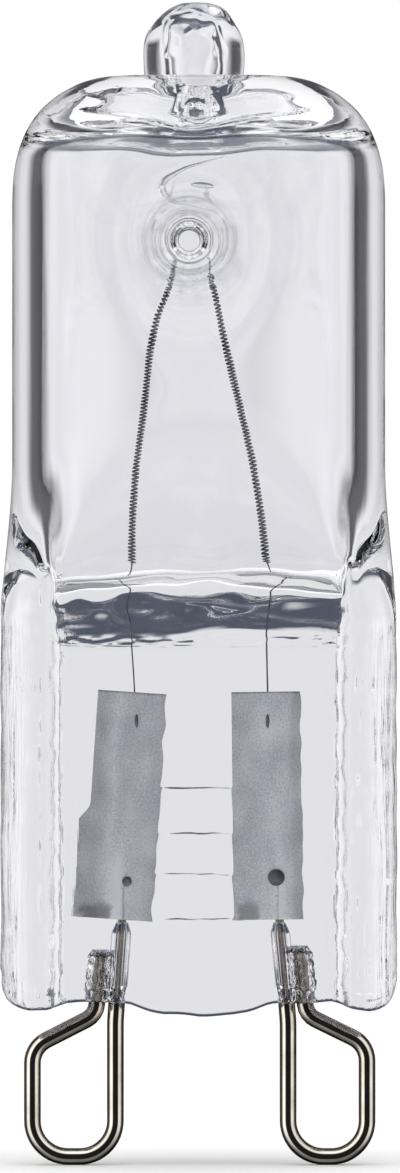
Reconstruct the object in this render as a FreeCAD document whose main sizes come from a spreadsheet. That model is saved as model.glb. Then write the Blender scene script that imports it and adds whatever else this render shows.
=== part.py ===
import FreeCAD, Part
import math
import os
import re
import Sketcher

# Halogen capsule with two contact loops, standing upright on its loops.
# X runs across the flat seal, Y through it and away from the viewer, Z up, in millimetres.
# The origin is on the axis of the capsule, level with the lowest point of the loops.

SIZES = [
    # Tube, dome and the sealed stub of the exhaust tube on top
    ("tube_radius", 6.9, "outside of the quartz tube"),
    ("tube_wall", 1.1, "wall of the tube"),
    ("neck_z", 26.1, "height where the round tube starts to flatten"),
    ("dome_z", 40.25, "height of the ring around the dome"),
    ("shoulder_round", 3.4, "radius between tube and dome"),
    ("dome_wall", 2.15, "glass over the cavity"),
    ("cavity_round", 2.0, "inner radius between tube and dome"),
    ("dome_flat", 0.4, "level ring between the shoulder and the sink around the stub"),
    ("sink_depth", 1.5, "how far the dome sinks at the stub"),
    ("stub_radius", 1.85, "outside of the exhaust stub"),
    ("stub_top_z", 43.0, "overall height"),
    ("stub_round", 0.9, "melted edge on top of the stub"),
    ("bore_radius", 0.85, "bore of the exhaust stub"),
    ("stub_cap", 0.9, "glass that closes the stub"),
    ("bore_round", 0.4, "rounded end of the bore"),
    # Pressed seal: two rails with a thinner web between them
    ("seal_width", 14.6, "over both rails"),
    ("seal_thickness", 5.0, "rails, front to back"),
    ("seal_round", 1.5, "rounded edges of the rails"),
    ("seal_top_z", 21.5, "height where the flattened tube is as thick as the rails"),
    ("seal_bottom_z", 5.75, "lower end of the rails"),
    ("seal_end_cut", 0.6, "bevelled lower ends of the rails"),
    ("rail_shoulder_z", 20.9, "height where the rails start to run out into the tube"),
    ("rail_end_z", 26.0, "height where the rails have run out into the tube"),
    ("rail_width", 2.05, "one rail"),
    ("web_thickness", 2.9, "web, front to back"),
    ("web_top_z", 19.3, "upper end of the flat web"),
    ("web_slope_run", 1.45, "depth of the slope from the web up to the neck"),
    ("web_bottom_z", 6.05, "lower end of the web, beside the wires"),
    ("lip_width", 5.5, "lip below the web, between the wires"),
    ("lip_flat", 2.4, "lowest, level part of the lip"),
    ("lip_drop", 0.5, "how far the lip hangs below the web"),
    ("cut_margin", 1.0, "how far a cut starts outside the glass"),
    # Lower end of the cavity, flattened front and back
    ("floor_z", 21.9, "lowest height of the cavity"),
    ("floor_gap", 2.2, "cavity thickness at its floor"),
    ("floor_slope_z", 26.8, "height where the cavity starts to flatten"),
    # Filament post, made of two dimples that meet inside the tube
    ("post_x", -0.35, "centre of the post"),
    ("post_z", 34.2, "centre of the post"),
    ("post_radius", 1.22, "waist of the post"),
    ("post_length", 1.8, "straight part of the post"),
    ("flare_radius", 4.6, "post where it meets the tube wall"),
    ("pit_radius", 0.5, "flat bottom of each dimple"),
    ("pit_web", 0.9, "glass between the two dimples"),
    ("pit_mouth_radius", 3.2, "dimple at the outside of the tube"),
    # Molybdenum foils
    ("foil_width", 2.54, "both foils"),
    ("foil_length", 8.42, "both foils"),
    ("foil_thickness", 0.05, "both foils"),
    ("foil_z", 13.3, "centre of both foils"),
    ("left_foil_x", -2.73, "centre of the left foil"),
    ("left_foil_lean", 3.9, "degrees, lower end outwards"),
    ("right_foil_x", 2.53, "centre of the right foil"),
    ("right_foil_lean", -0.7, "degrees, lower end outwards"),
    # Contact loops, bent from round wire
    ("wire_radius", 0.31, "wire of the loops"),
    ("lead_flat", 0.04, "depth of the flat that is welded to the foil"),
    ("weld_margin", 0.2, "how far that flat runs on below the foil"),
    ("left_lead_x", -2.74, "upper end of the left lead"),
    ("left_lead_z", 10.4, "upper end of the left lead"),
    ("left_inner_x", -3.08, "inner leg of the left loop"),
    ("left_outer_x", -6.15, "outer leg of the left loop"),
    ("left_return_x", -3.8, "left loop's end in the glass"),
    ("left_tuck_x", -3.62, "tip of the left loop's end"),
    ("left_tuck_z", 7.9, "tip of the left loop's end"),
    ("right_lead_x", 2.86, "upper end of the right lead"),
    ("right_lead_z", 10.6, "upper end of the right lead"),
    ("right_inner_x", 3.31, "inner leg of the right loop"),
    ("right_outer_x", 6.23, "outer leg of the right loop"),
    ("right_return_x", 3.98, "right loop's end in the glass"),
    ("right_tuck_x", 3.72, "tip of the right loop's end"),
    ("right_tuck_z", 8.05, "tip of the right loop's end"),
    ("lead_knee_z", 5.3, "slight bend where the inner leg starts"),
    ("loop_round", 1.15, "lower corners of a loop"),
    ("loop_shoulder_z", 4.7, "corner above the outer leg"),
    ("loop_shoulder_round", 0.75, "radius of that corner"),
    ("loop_neck_z", 5.72, "corner below the glass"),
    ("loop_neck_round", 0.45, "radius of that corner"),
    # Filament: one tungsten wire, coiled on both sides of the post
    ("coil_radius", 0.135, "outside of the coils"),
    ("filament_radius", 0.05, "bare wire and tails"),
    ("tail_flat", 0.01, "depth of the flat that is welded to the foil"),
    ("tail_overlap", 1.3, "tail on the foil"),
    ("left_tail_x", -2.36, "left tail at its foil"),
    ("right_tail_x", 2.55, "right tail at its foil"),
    ("tail_kink_z", 21.2, "kink in each tail"),
    ("left_kink_x", -2.58, "kink in the left tail"),
    ("right_kink_x", 2.66, "kink in the right tail"),
    ("coil_low_z", 22.5, "lower end of the coils"),
    ("left_coil_low_x", -2.39, "lower end of the left coil"),
    ("right_coil_low_x", 2.46, "lower end of the right coil"),
    ("left_coil_bend_x", -1.79, "bend in the left coil"),
    ("left_coil_bend_z", 30.9, "bend in the left coil"),
    ("right_coil_bend_x", 0.8, "bend in the right coil"),
    ("right_coil_bend_z", 31.3, "bend in the right coil"),
    ("left_coil_top_x", -1.32, "upper end of the left coil"),
    ("right_coil_top_x", 0.58, "upper end of the right coil"),
    ("coil_top_z", 32.3, "upper end of the coils"),
    ("wrap_clearance", 0.03, "between post and wire"),
    ("wrap_start_drop", 0.8, "how far below the post's centre the wire leaves it"),
]

doc = FreeCAD.newDocument("halogen_capsule")
sheet = doc.addObject("Spreadsheet::Sheet", "sizes")
for row, (alias, value, note) in enumerate(SIZES, start=1):
    sheet.set(f"A{row}", alias)
    sheet.set(f"B{row}", str(value))
    sheet.setAlias(f"B{row}", alias)
    sheet.set(f"C{row}", note)
doc.recompute()
ALIASES = {alias for alias, value, note in SIZES}
# Degrees that one chord of a turned or swept round takes at most
CHORD_TURN = 30
# How far apart two values may be and still count as one
SAME_VALUE = 0.001


def formula(text):
    """Turn a formula in plain size names into an expression on the sheet."""
    return re.sub(r"[a-z_]\w+", lambda word: named(word.group(0)), str(text))


def named(word):
    return f"sizes.{word}" if word in ALIASES else word


def worth(text):
    return float(sheet.evalExpression(formula(text)))


def origin_plane(body, role):
    return next(item for item in body.Origin.OriginFeatures if item.Role == role)


def new_body(name):
    body = doc.addObject("PartDesign::Body", name)
    body.Label = name
    return body


def new_sketch(body, name, role, offset=("0", "0", "0")):
    """Attach a sketch to one of the body's own planes, moved in the plane's own axes."""
    sketch = body.newObject("Sketcher::SketchObject", name)
    sketch.AttachmentSupport = [(origin_plane(body, role), "")]
    sketch.MapMode = "FlatFace"
    for axis, text in zip("xyz", offset):
        sketch.setExpression(f"AttachmentOffset.Base.{axis}", formula(text))
    return sketch


def pin_point(sketch, geo, position, x, y):
    """Tie a point of the sketch to two formulas."""
    for kind, text in (("DistanceX", x), ("DistanceY", y)):
        rule = sketch.addConstraint(Sketcher.Constraint(kind, -1, 1, geo, position, worth(text)))
        sketch.setExpression(f"Constraints[{rule}]", formula(text))


def draw(sketch, corners, closed=True, chords=False):
    """Draw straight runs between corners (x, y, radius), each rounded where a radius is given."""
    points = [FreeCAD.Vector(worth(corner[0]), worth(corner[1]), 0) for corner in corners]
    radii = [corner[2] if len(corner) > 2 else None for corner in corners]
    count = len(points)
    before = []
    after = []
    for index, point in enumerate(points):
        reach = 0.0
        back = (points[index - 1] - point).normalize()
        ahead = (points[(index + 1) % count] - point).normalize()
        if radii[index] is not None:
            reach = worth(radii[index]) * (back + ahead).Length / (back - ahead).Length
        before.append(point + back * reach)
        after.append(point + ahead * reach)
    runs = []
    for index in range(count if closed else count - 1):
        line = Part.LineSegment(after[index], before[(index + 1) % count])
        runs.append(sketch.addGeometry(line, False))
    for index in range(count):
        entering = runs[index - 1] if closed or index > 0 else None
        leaving = runs[index] if closed or index < count - 1 else None
        x, y = corners[index][:2]
        if radii[index] is None:
            if entering is not None and leaving is not None:
                sketch.addConstraint(Sketcher.Constraint("Coincident", entering, 2, leaving, 1))
            if leaving is not None:
                pin_point(sketch, leaving, 1, x, y)
            else:
                pin_point(sketch, entering, 2, x, y)
            continue
        mark = sketch.addGeometry(Part.Point(points[index]), True)
        pin_point(sketch, mark, 1, x, y)
        sketch.addConstraint(Sketcher.Constraint("PointOnObject", mark, 1, entering))
        sketch.addConstraint(Sketcher.Constraint("PointOnObject", mark, 1, leaving))
        arc = add_round(sketch, entering, leaving, before[index], points[index], after[index],
                        radii[index], chords)
        if chords:
            add_chords(sketch, entering, leaving, arc, before[index], after[index])


def add_round(sketch, entering, leaving, start, corner, finish, radius, guide):
    """Join two runs by an arc that is tangent to both, drawn or only as a guide."""
    size = worth(radius)
    middle = ((start + finish) * 0.5 - corner).normalize()
    half = (start - corner).normalize()
    centre = corner + middle * (size / half.cross(middle).Length)
    begin = math.atan2(start.y - centre.y, start.x - centre.x)
    end = math.atan2(finish.y - centre.y, finish.x - centre.x)
    first, second = 1, 2
    if (start - centre).cross(finish - centre).z < 0:
        begin, end = end, begin
        first, second = 2, 1
    circle = Part.Circle(centre, FreeCAD.Vector(0, 0, 1), size)
    arc = sketch.addGeometry(Part.ArcOfCircle(circle, begin, end), guide)
    sketch.addConstraint(Sketcher.Constraint("Tangent", entering, 2, arc, first))
    sketch.addConstraint(Sketcher.Constraint("Tangent", leaving, 1, arc, second))
    rule = sketch.addConstraint(Sketcher.Constraint("Radius", arc, size))
    sketch.setExpression(f"Constraints[{rule}]", formula(radius))
    return arc


def add_chords(sketch, entering, leaving, arc, start, finish):
    """Draw equal chords along a guide arc, so that turned and swept rounds stay light."""
    centre = sketch.Geometry[arc].Center
    spoke = start - centre
    turn = math.degrees(spoke.getAngle(finish - centre))
    count = max(2, math.ceil(turn / CHORD_TURN - SAME_VALUE))
    way = 1 if spoke.cross(finish - centre).z > 0 else -1
    stops = []
    for step in range(count + 1):
        rotation = FreeCAD.Rotation(FreeCAD.Vector(0, 0, 1), way * turn * step / count)
        stops.append(centre + rotation.multVec(spoke))
    lines = [sketch.addGeometry(Part.LineSegment(a, b), False) for a, b in zip(stops, stops[1:])]
    sketch.addConstraint(Sketcher.Constraint("Coincident", entering, 2, lines[0], 1))
    sketch.addConstraint(Sketcher.Constraint("Coincident", leaving, 1, lines[-1], 2))
    for before, after in zip(lines, lines[1:]):
        sketch.addConstraint(Sketcher.Constraint("Coincident", before, 2, after, 1))
        sketch.addConstraint(Sketcher.Constraint("PointOnObject", before, 2, arc))
        sketch.addConstraint(Sketcher.Constraint("Equal", before, after))


def draw_circle(sketch, x, y, radius):
    centre = FreeCAD.Vector(worth(x), worth(y), 0)
    circle = Part.Circle(centre, FreeCAD.Vector(0, 0, 1), worth(radius))
    geo = sketch.addGeometry(circle, False)
    rule = sketch.addConstraint(Sketcher.Constraint("Radius", geo, worth(radius)))
    sketch.setExpression(f"Constraints[{rule}]", formula(radius))
    pin_point(sketch, geo, 3, x, y)


def rectangle(x_half, y_half, radius):
    """Corners of a rounded rectangle about the origin, from its half sizes."""
    return [(f"-({x_half})", f"-({y_half})", radius), (x_half, f"-({y_half})", radius),
            (x_half, y_half, radius), (f"-({x_half})", y_half, radius)]


def turned(body, name, sketch, axis, kind="PartDesign::Revolution"):
    feature = body.newObject(kind, name)
    feature.Profile = sketch
    feature.ReferenceAxis = (sketch, [axis])
    feature.Angle = 360
    return feature


def piped(body, name, profile, path):
    """Sweep a round section along a path that lies in the XZ plane."""
    feature = body.newObject("PartDesign::AdditivePipe", name)
    feature.Profile = profile
    feature.Spine = (path, [""])
    feature.Mode = "Binormal"
    feature.Binormal = FreeCAD.Vector(0, 1, 0)
    feature.Transition = "Right corner"
    return feature


def wire_body(name, radius, path, y="0"):
    """A body of round wire along corners in the XZ plane, starting at the first of them."""
    body = new_body(name)
    add_wire(body, "wire", radius, path, y)
    return body


def add_wire(body, name, radius, path, y="0"):
    """Sweep a circle that stands square to the first run of the path."""
    route = new_sketch(body, f"{name}_path", "XZ_Plane", ("0", "0", f"-({y})"))
    draw(route, path, closed=False, chords=True)
    section = new_sketch(body, f"{name}_section", "XY_Plane", (path[0][0], y, path[0][1]))
    run_x = worth(path[1][0]) - worth(path[0][0])
    run_z = worth(path[1][1]) - worth(path[0][1])
    lean = math.degrees(math.atan(run_x / run_z))
    upright = FreeCAD.Vector(0, 1, 0)
    section.AttachmentOffset = FreeCAD.Placement(FreeCAD.Vector(), FreeCAD.Rotation(upright, lean))
    draw_circle(section, "0", "0", radius)
    piped(body, name, section, route)
    doc.recompute()


def add_flat(body, name, x, z_low, z_high, depth_y, half_width):
    """Cut a flat on the front of a wire, from depth_y forwards."""
    sketch = new_sketch(body, f"{name}_outline", "XZ_Plane", ("0", "0", f"-({depth_y})"))
    draw(sketch, [(f"{x} - {half_width}", z_low), (f"{x} + {half_width}", z_low),
                  (f"{x} + {half_width}", z_high), (f"{x} - {half_width}", z_high)])
    pocket = body.newObject("PartDesign::Pocket", name)
    pocket.Profile = sketch
    pocket.Reversed = True
    pocket.Type = "ThroughAll"
    doc.recompute()


# Faces that meet between the foils, the leads and the tails
FOIL_BACK = "-(wire_radius - lead_flat)"
FILAMENT_Y = f"{FOIL_BACK} + filament_radius - tail_flat"
BORE_TOP = "stub_top_z - stub_cap"
CAVITY_TOP = "dome_z - dome_wall"
SINK_RADIUS = "tube_radius - shoulder_round - dome_flat"


def make_glass_blank():
    """Outside of the glass: pressed seal, turned tube and dome, flattened neck, two dimples."""
    body = new_body("glass_blank")
    outline = new_sketch(body, "seal_outline", "XY_Plane", ("0", "0", "seal_bottom_z"))
    draw(outline, rectangle("seal_width / 2", "seal_thickness / 2", "seal_round"))
    seal = body.newObject("PartDesign::Pad", "seal")
    seal.Profile = outline
    seal.setExpression("Length", formula("rail_end_z - seal_bottom_z"))
    doc.recompute()
    bevel_seal_end(body)
    run_out_rails(body)
    profile = new_sketch(body, "tube_profile", "XZ_Plane")
    draw(profile, [("0", "seal_top_z"), ("tube_radius", "seal_top_z"),
                   ("tube_radius", "dome_z", "shoulder_round"), (SINK_RADIUS, "dome_z"),
                   ("stub_radius", "dome_z - sink_depth"), ("stub_radius", "stub_top_z", "stub_round"),
                   ("0", "stub_top_z")], chords=True)
    turned(body, "tube_and_dome", profile, "V_Axis")
    doc.recompute()
    flatten(body, "neck", "tube_radius", "neck_z", "seal_thickness / 2", "seal_top_z", "seal_width")
    press_web(body)
    add_lip(body)
    sink_dimples(body)
    return body


def bevel_seal_end(body):
    """Bevel the lower edges of the seal."""
    seal = body.Tip
    lowest = worth("seal_bottom_z") + SAME_VALUE
    edges = [f"Edge{index}" for index, edge in enumerate(seal.Shape.Edges, start=1)
             if edge.BoundBox.ZMax < lowest]
    bevel = body.newObject("PartDesign::Chamfer", "seal_end")
    bevel.Base = (seal, edges)
    bevel.setExpression("Size", formula("seal_end_cut"))
    doc.recompute()


def cut_through(body, name, plane, outlines, length):
    """Cut outlines through the body, equally to both sides of the plane."""
    sketch = new_sketch(body, f"{name}_outline", plane)
    for outline in outlines:
        draw(sketch, outline)
    pocket = body.newObject("PartDesign::Pocket", name)
    pocket.Profile = sketch
    pocket.SideType = "Symmetric"
    pocket.Type = "Length"
    pocket.setExpression("Length", formula(length))
    doc.recompute()


def run_out_rails(body):
    """Taper the tops of both rails, so that they run out on the sides of the tube."""
    outer = "seal_width / 2 + cut_margin"
    tube_side = "sqrt(tube_radius ^ 2 - (seal_thickness / 2) ^ 2)"
    top = "rail_end_z + cut_margin"
    outlines = [[(f"{side}(seal_width / 2)", "rail_shoulder_z"), (f"{side}{tube_side}", "rail_end_z"),
                 (f"{side}{tube_side}", top), (f"{side}({outer})", top),
                 (f"{side}({outer})", "rail_shoulder_z")] for side in ("", "-")]
    cut_through(body, "rail_run_out", "XZ_Plane", outlines, "seal_thickness + 2 * cut_margin")


def flatten(body, name, wide, wide_z, narrow, narrow_z, length):
    """Flatten the front and back of a round body along two slopes."""
    outer = f"{wide} + cut_margin"
    lowest = f"{narrow_z} - cut_margin"
    outlines = [[(f"{side}({narrow})", narrow_z), (f"{side}({wide})", wide_z),
                 (f"{side}({outer})", wide_z), (f"{side}({outer})", lowest),
                 (f"{side}({narrow})", lowest)] for side in ("", "-")]
    cut_through(body, name, "YZ_Plane", outlines, length)


def press_web(body):
    """Press the web in from both sides, with a slope up to the neck, and cut it short below."""
    lowest = "seal_bottom_z - cut_margin"
    half = "web_thickness / 2"
    neck_rise = "(neck_z - seal_top_z) / (tube_radius - seal_thickness / 2)"
    slope_top = f"seal_top_z + ({half} + web_slope_run - seal_thickness / 2) * {neck_rise}"
    outline = [(half, "web_bottom_z"), (half, "web_top_z"), (f"{half} + web_slope_run", slope_top),
               ("tube_radius", slope_top), ("tube_radius", lowest), ("-tube_radius", lowest),
               ("-tube_radius", slope_top), (f"-{half} - web_slope_run", slope_top),
               (f"-{half}", "web_top_z"), (f"-{half}", "web_bottom_z")]
    cut_through(body, "web", "YZ_Plane", [outline], "seal_width - 2 * rail_width")


def add_lip(body):
    """The web bulges a little below the rails."""
    lip = new_sketch(body, "lip_outline", "XZ_Plane")
    draw(lip, [("-lip_width / 2", "web_bottom_z + cut_margin"), ("-lip_width / 2", "web_bottom_z"),
               ("-lip_flat / 2", "web_bottom_z - lip_drop"), ("lip_flat / 2", "web_bottom_z - lip_drop"),
               ("lip_width / 2", "web_bottom_z"), ("lip_width / 2", "web_bottom_z + cut_margin")])
    pad = body.newObject("PartDesign::Pad", "lip")
    pad.Profile = lip
    pad.SideType = "Symmetric"
    pad.setExpression("Length", formula("web_thickness"))
    doc.recompute()


def sink_dimples(body):
    """Sink a dimple from the front and one from the back, towards the post."""
    for name, side in (("front_dimple", "-"), ("back_dimple", "")):
        sketch = new_sketch(body, f"{name}_profile", "YZ_Plane", ("0", "post_z", "post_x"))
        draw(sketch, [(f"{side}(pit_web / 2)", "0"), (f"{side}(pit_web / 2)", "pit_radius"),
                      (f"{side}(tube_radius)", "pit_mouth_radius"), (f"{side}(tube_radius)", "0")])
        turned(body, name, sketch, "H_Axis", "PartDesign::Groove")
        doc.recompute()


def make_cavity():
    """Hollow of the glass: turned cavity and bore, flattened down to a narrow floor."""
    body = new_body("cavity")
    profile = new_sketch(body, "cavity_profile", "XZ_Plane")
    inner = "tube_radius - tube_wall"
    draw(profile, [("0", "floor_z"), (inner, "floor_z"), (inner, CAVITY_TOP, "cavity_round"),
                   ("bore_radius", CAVITY_TOP), ("bore_radius", BORE_TOP, "bore_round"),
                   ("0", BORE_TOP)], chords=True)
    turned(body, "cavity_and_bore", profile, "V_Axis")
    doc.recompute()
    flatten(body, "floor_slopes", inner, "floor_slope_z", "floor_gap / 2", "floor_z", "2 * tube_radius")
    return body


def make_post():
    """Inside skin of the two dimples, which forms the post across the cavity."""
    body = new_body("post_skin")
    sketch = new_sketch(body, "post_profile", "YZ_Plane", ("0", "post_z", "post_x"))
    draw(sketch, [("-tube_radius", "0"), ("-tube_radius", "flare_radius"),
                  ("-post_length / 2", "post_radius"), ("post_length / 2", "post_radius"),
                  ("tube_radius", "flare_radius"), ("tube_radius", "0")])
    turned(body, "post", sketch, "H_Axis")
    doc.recompute()
    return body


def make_foil(side):
    """A strip of molybdenum foil in the middle of the seal, leaning a little."""
    body = new_body(f"foil_{side}")
    sketch = new_sketch(body, "strip_outline", "XZ_Plane")
    draw(sketch, [("-foil_width / 2", "-foil_length / 2"), ("foil_width / 2", "-foil_length / 2"),
                  ("foil_width / 2", "foil_length / 2"), ("-foil_width / 2", "foil_length / 2")])
    pad = body.newObject("PartDesign::Pad", "strip")
    pad.Profile = sketch
    pad.setExpression("Length", formula("foil_thickness"))
    body.setExpression("Placement.Base.x", formula(f"{side}_foil_x"))
    body.setExpression("Placement.Base.y", formula(FOIL_BACK))
    body.setExpression("Placement.Base.z", formula("foil_z"))
    body.Placement.Rotation = FreeCAD.Rotation(FreeCAD.Vector(0, 1, 0), worth(f"{side}_foil_lean"))
    doc.recompute()
    return body


def make_loop(side):
    """A contact loop and its lead, bent from one piece of wire."""
    path = [(f"{side}_lead_x", f"{side}_lead_z"),
            (f"{side}_inner_x", "lead_knee_z"),
            (f"{side}_inner_x", "wire_radius", "loop_round"),
            (f"{side}_outer_x", "wire_radius", "loop_round"),
            (f"{side}_outer_x", "loop_shoulder_z", "loop_shoulder_round"),
            (f"{side}_return_x", "loop_neck_z", "loop_neck_round"),
            (f"{side}_tuck_x", f"{side}_tuck_z")]
    body = wire_body(f"contact_loop_{side}", "wire_radius", path)
    foil_end = "foil_z - foil_length / 2 - weld_margin"
    add_flat(body, "weld_flat", f"{side}_lead_x", foil_end, f"{side}_lead_z + cut_margin",
             FOIL_BACK, "wire_radius * 2")
    return body


def make_filament():
    """One wire: a tail from each foil, a coil up to the post, and the bare wire over it."""
    reach = "(post_radius + filament_radius + wrap_clearance)"
    rise = f"{reach} * tan(22.5)"
    left = [("left_tail_x", "foil_z + foil_length / 2 - tail_overlap"),
            ("left_kink_x", "tail_kink_z"),
            ("left_coil_low_x", "coil_low_z"),
            ("left_coil_bend_x", "left_coil_bend_z"),
            ("left_coil_top_x", "coil_top_z"),
            (f"post_x - {reach}", "post_z - wrap_start_drop"),
            (f"post_x - {reach}", f"post_z + {rise}"),
            (f"post_x - {rise}", f"post_z + {reach}")]
    right = [(f"post_x + {rise}", f"post_z + {reach}"),
             (f"post_x + {reach}", f"post_z + {rise}"),
             (f"post_x + {reach}", "post_z - wrap_start_drop"),
             ("right_coil_top_x", "coil_top_z"),
             ("right_coil_bend_x", "right_coil_bend_z"),
             ("right_coil_low_x", "coil_low_z"),
             ("right_kink_x", "tail_kink_z"),
             ("right_tail_x", "foil_z + foil_length / 2 - tail_overlap")]
    body = wire_body("filament", "filament_radius", left + right, FILAMENT_Y)
    for side in ("left", "right"):
        coil = [(f"{side}_coil_low_x", "coil_low_z"),
                (f"{side}_coil_bend_x", f"{side}_coil_bend_z"),
                (f"{side}_coil_top_x", "coil_top_z")]
        add_wire(body, f"{side}_coil", "coil_radius", coil, FILAMENT_Y)
        add_flat(body, f"{side}_weld_flat", f"{side}_tail_x", "foil_z", "foil_z + foil_length / 2",
                 FOIL_BACK, "filament_radius * 4")
    return body


def cut(name, base, tool):
    feature = doc.addObject("Part::Cut", name)
    feature.Base = base
    feature.Tool = tool
    doc.recompute()
    return feature


glass_blank = make_glass_blank()
cavity = make_cavity()
post_skin = make_post()
sealed_in = [make_foil("left"), make_foil("right"), make_loop("left"), make_loop("right"), make_filament()]
glass = cut("hollow_glass", glass_blank, cut("hollow", cavity, post_skin))
for piece in sealed_in:
    glass = cut(f"glass_around_{piece.Label}", glass, piece)
glass.Label = "glass_envelope"

pieces = [glass] + sealed_in
doc.recompute()
for item in doc.Objects:
    if "Invalid" in item.State or "Error" in item.State:
        raise SystemExit(f"{item.Name} failed: {item.State}")
for piece in pieces:
    if piece.Shape.isNull() or not piece.Shape.isValid() or len(piece.Shape.Solids) != 1:
        raise SystemExit(f"{piece.Label} is not one valid solid")

os.makedirs("parts", exist_ok=True)
for piece in pieces:
    piece.Shape.exportStep(f"parts/{piece.Label}.step")
    box = piece.Shape.BoundBox
    print(piece.Label, round(piece.Shape.Volume, 3), box)
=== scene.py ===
import math

import bmesh
import bpy
from mathutils import Matrix, Vector, noise


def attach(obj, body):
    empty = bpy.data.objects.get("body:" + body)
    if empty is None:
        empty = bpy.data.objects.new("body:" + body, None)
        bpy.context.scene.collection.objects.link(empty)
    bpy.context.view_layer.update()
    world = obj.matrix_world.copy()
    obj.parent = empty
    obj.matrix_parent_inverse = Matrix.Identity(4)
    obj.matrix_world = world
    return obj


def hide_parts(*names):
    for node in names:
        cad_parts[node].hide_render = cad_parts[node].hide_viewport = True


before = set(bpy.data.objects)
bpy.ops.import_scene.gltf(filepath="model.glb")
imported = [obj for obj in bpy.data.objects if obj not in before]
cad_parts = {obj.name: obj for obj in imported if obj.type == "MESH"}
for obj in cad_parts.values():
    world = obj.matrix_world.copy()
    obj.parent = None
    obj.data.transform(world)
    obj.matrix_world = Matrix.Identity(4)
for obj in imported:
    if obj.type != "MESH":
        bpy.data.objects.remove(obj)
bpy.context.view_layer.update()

# Sizes are in millimetres where nothing else is said, in the CAD frame: X across the flat seal, Y away from
# the viewer, Z up.
millimetre = 0.001
quartzIndex = 1.458  # how strongly fused quartz bends light
pieceMerge = 0.0004  # points nearer than this are one point in a finished piece
skinMerge = 0.0006  # and this in each skin of the glass


# Small tools

def mixed(low, high, part):
    return low + (high - low) * part


def eased(value, low, high):
    part = min(max((value - low) / (high - low), 0.0), 1.0)
    return part * part * (3 - 2 * part)


def softMin(a, b, width):
    # the smaller of two depths, with the corner between them rounded over width
    near = max(width - abs(a - b), 0.0) / width
    return min(a, b) - near ** 3 * width / 6


def readOff(knots, place):
    # value at a place on straight runs between (place, value) pairs
    if place <= knots[0][0]:
        return knots[0][1]
    for (lowAt, low), (highAt, high) in zip(knots, knots[1:]):
        if place <= highAt:
            return mixed(low, high, (place - lowAt) / (highAt - lowAt))
    return knots[-1][1]


def stepped(start, stop, step):
    count = max(1, round(abs(stop - start) / step))
    return [mixed(start, stop, index / count) for index in range(count)]


def resample(points, step):
    # points along straight runs, about step apart
    out = []
    for (ax, ay), (bx, by) in zip(points, points[1:]):
        count = max(1, round(math.hypot(bx - ax, by - ay) / step))
        out += [(mixed(ax, bx, i / count), mixed(ay, by, i / count)) for i in range(count)]
    return out + [points[-1]]


def smoothed(points, times):
    # rounds the corners of a profile and keeps its ends
    for turn in range(times):
        inner = [((a[0] + 2 * b[0] + c[0]) / 4, (a[1] + 2 * b[1] + c[1]) / 4)
                 for a, b, c in zip(points, points[1:], points[2:])]
        points = [points[0]] + inner + [points[-1]]
    return points


def rounded(knots, step, times):
    return smoothed(resample(knots, step), times)


def ripple(x, y, z, size, depth):
    # gentle unevenness of hot glass, size across one wave
    return noise.noise(Vector((x, y, z)) / size) * depth


def addSheet(mesh, columns, rows, placeOf):
    # a grid of columns x rows faces whose points go where placeOf says, and are cut out where it says None
    made = bmesh.ops.create_grid(mesh, x_segments=columns, y_segments=rows, size=1.0)
    cut = []
    for point in made["verts"]:
        column = round((point.co.x + 1) / 2 * columns)
        row = round((point.co.y + 1) / 2 * rows)
        spot = placeOf(column, row)
        if spot is None:
            cut.append(point)
        else:
            point.co = spot
    bmesh.ops.delete(mesh, geom=cut, context="VERTS")


def sweepWire(mesh, points, radii, sides):
    # a round wire along points, each with its own radius; a radius of 0 closes an end
    last = len(points) - 1
    ahead = [(points[min(i + 1, last)] - points[max(i - 1, 0)]).normalized() for i in range(last + 1)]
    across = Vector((0, 1, 0))
    frames = []
    for way in ahead:
        across = (across - way * across.dot(way)).normalized()
        frames.append((across.copy(), way.cross(across)))

    def place(column, row):
        turn = math.pi * 2 * column / sides
        first, second = frames[row]
        return points[row] + (first * math.cos(turn) + second * math.sin(turn)) * radii[row]

    addSheet(mesh, sides, last, place)


def finishPiece(mesh, name, material, nodes, turnOut=True):
    # merges the seams, points the faces outwards and puts the piece in the frame in metres
    bmesh.ops.remove_doubles(mesh, verts=mesh.verts, dist=pieceMerge)
    bmesh.ops.dissolve_degenerate(mesh, edges=mesh.edges, dist=pieceMerge)
    if turnOut:
        bmesh.ops.recalc_face_normals(mesh, faces=mesh.faces)
    bmesh.ops.scale(mesh, vec=Vector((millimetre,) * 3), verts=mesh.verts)
    data = bpy.data.meshes.new(name)
    mesh.to_mesh(data)
    mesh.free()
    data.shade_smooth()
    data.materials.append(material)
    piece = bpy.data.objects.new(name, data)
    bpy.context.scene.collection.objects.link(piece)
    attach(piece, "root")
    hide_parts(*nodes)
    print(name, len(data.polygons), "faces")
    return piece


# Materials

def linearColour(hexColour):
    channels = [int(hexColour[place:place + 2], 16) / 255 for place in (1, 3, 5)]
    return [c / 12.92 if c <= 0.04045 else ((c + 0.055) / 1.055) ** 2.4 for c in channels] + [1.0]


def addNode(material, kind, settings=(), inputs=(), stops=()):
    # a node with its settings; an input takes a value or another node's output; stops are a ramp's two colours
    node = material.node_tree.nodes.new(kind)
    for name, value in dict(settings).items():
        setattr(node, name, value)
    for socket, value in dict(inputs).items():
        if isinstance(value, bpy.types.NodeSocket):
            material.node_tree.links.new(value, node.inputs[socket])
        else:
            node.inputs[socket].default_value = value
    for index, (position, colour) in enumerate(stops):
        node.color_ramp.elements[index].position = position
        node.color_ramp.elements[index].color = linearColour(colour)
    return node


def newMaterial(name, values):
    # a principled material with the values that are the same all over it
    material = bpy.data.materials.new(name)
    material.use_nodes = True
    shader = material.node_tree.nodes["Principled BSDF"]
    for socket, value in values.items():
        shader.inputs[socket].default_value = value
    return material, shader


def joinUp(material, source, target):
    material.node_tree.links.new(source, target)


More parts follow.
